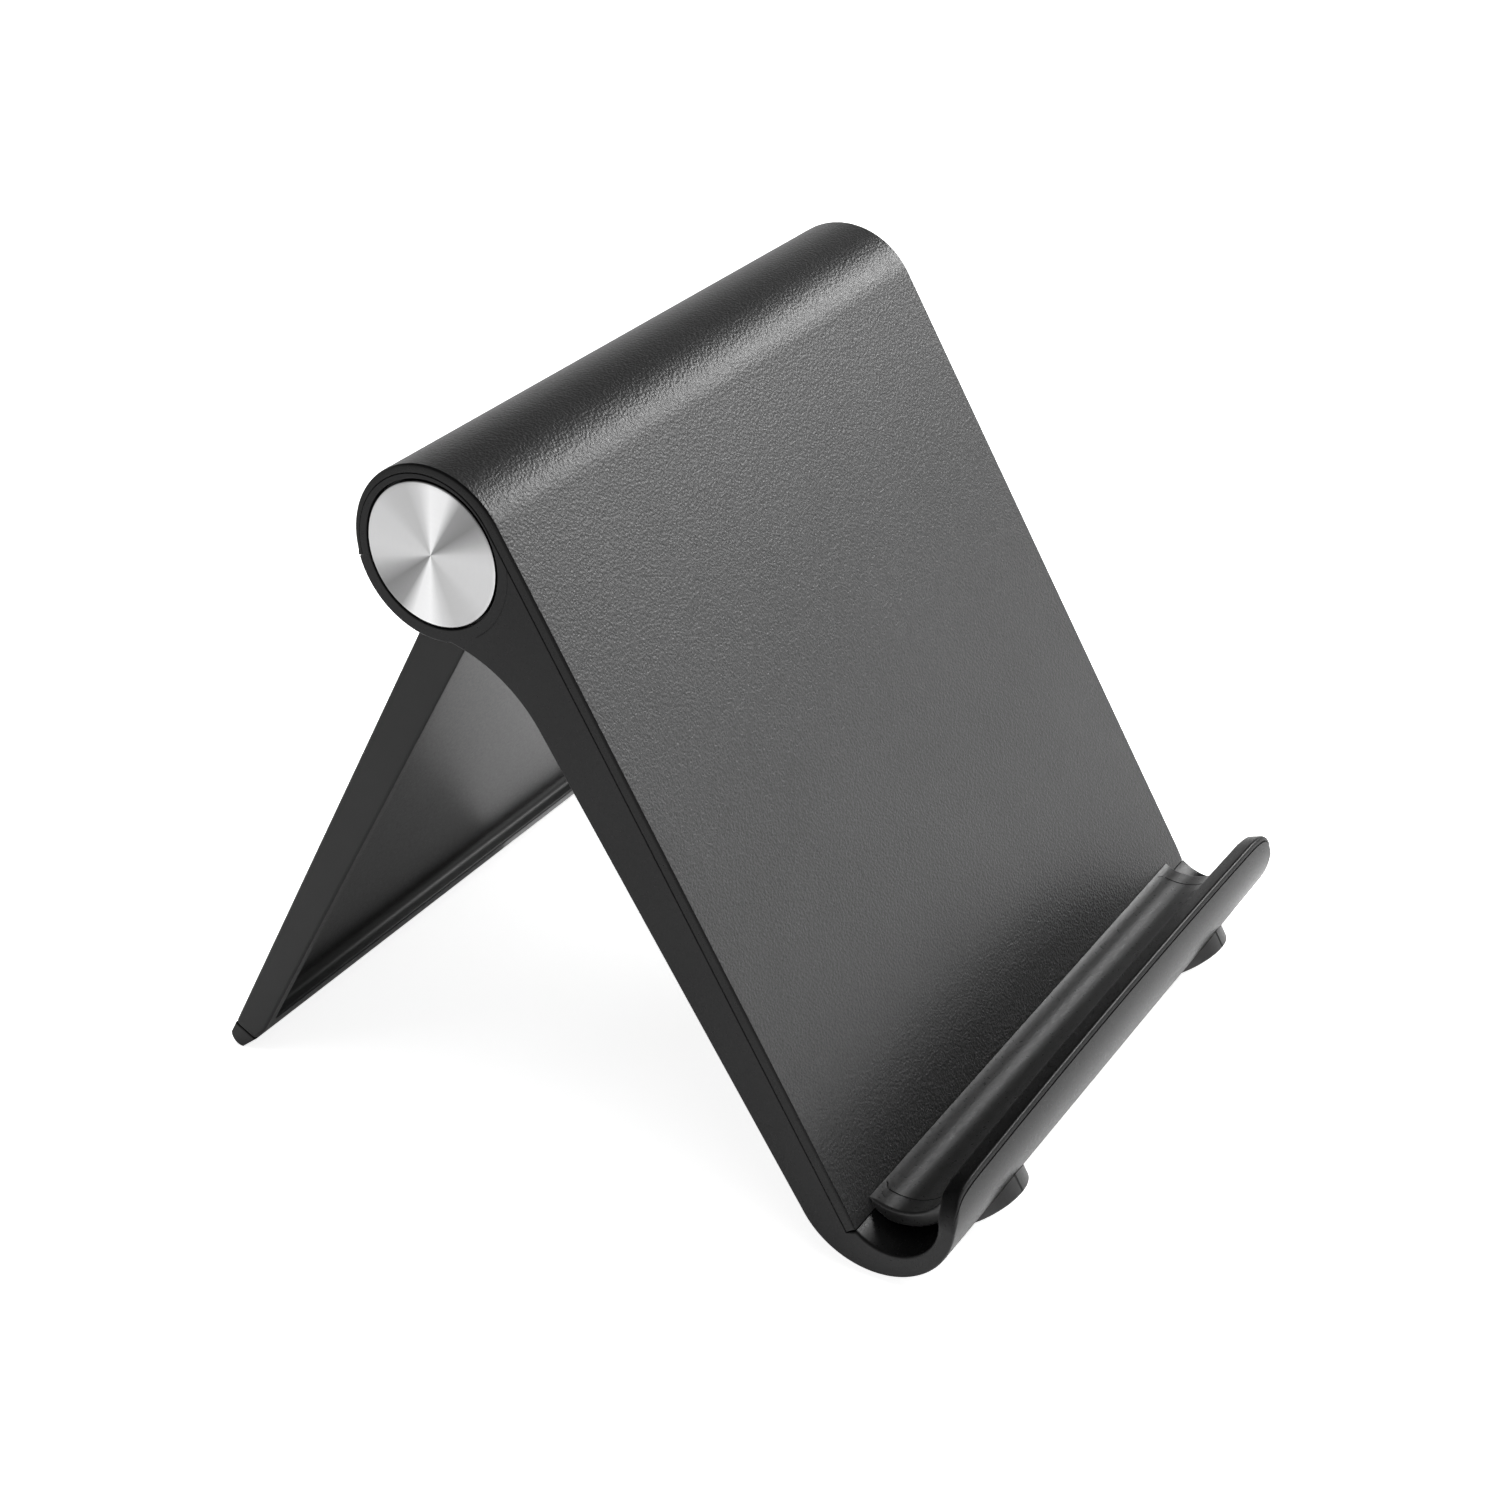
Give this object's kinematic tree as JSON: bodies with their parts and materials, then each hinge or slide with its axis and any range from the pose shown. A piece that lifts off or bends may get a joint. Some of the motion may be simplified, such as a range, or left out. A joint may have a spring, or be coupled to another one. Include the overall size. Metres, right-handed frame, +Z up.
{
  "type": "foldable phone stand",
  "caption": "Foldable phone stand: a textured front panel with a padded J-shaped hook, held up by a rear leg on a friction hinge.",
  "frame": {"origin": "on the desk, below the middle of the stand's box as it stands open", "axes": "+Z up, +X along the hinge from the stand's left to its right, -Y towards the user, the way the front panel faces"},
  "size_m": [0.0876, 0.1024, 0.0857],
  "materials": {
    "frame_plastic": "satin black moulded ABS",
    "cover_plastic": "fine spark-eroded texture, dark grey",
    "silicone": "soft black silicone, satin",
    "rubber": "matt black rubber",
    "spun_aluminium": "spun, fine concentric grooves",
    "zinc_steel": "zinc plated",
    "spring_steel": "oiled spring steel",
    "acetal": "natural acetal",
    "friction_fibre": "bonded fibre",
    "nylon": "blue nylon",
    "adhesive": "double-sided tape"
  },
  "bodies": {
    "front_panel": {"front_frame": "frame_plastic", "front_cover": "cover_plastic", "hook_pad": "silicone", "foot_left": "rubber", "foot_right": "rubber", "end_disc_left": "spun_aluminium", "end_disc_right": "spun_aluminium", "disc_tape_left": "adhesive", "disc_tape_right": "adhesive", "bush_left": "acetal", "bush_right": "acetal"},
    "leg": {"rear_leg": "frame_plastic", "leg_grip": "rubber", "hinge_shaft": "zinc_steel", "friction_washer_left": "friction_fibre", "friction_washer_right": "friction_fibre", "flat_washer_left": "zinc_steel", "flat_washer_right": "zinc_steel", "spring_washer_inner": "spring_steel", "spring_washer_outer": "spring_steel", "lock_nut": "zinc_steel", "nut_insert": "nylon"}
  },
  "joints": [
    {"name": "leg_hinge", "type": "hinge", "parent": "front_panel", "child": "leg", "pos_m": [0, 0.00881, 0.07575], "axis": [1, 0, 0], "range_deg": [-60, 42]}
  ]
}
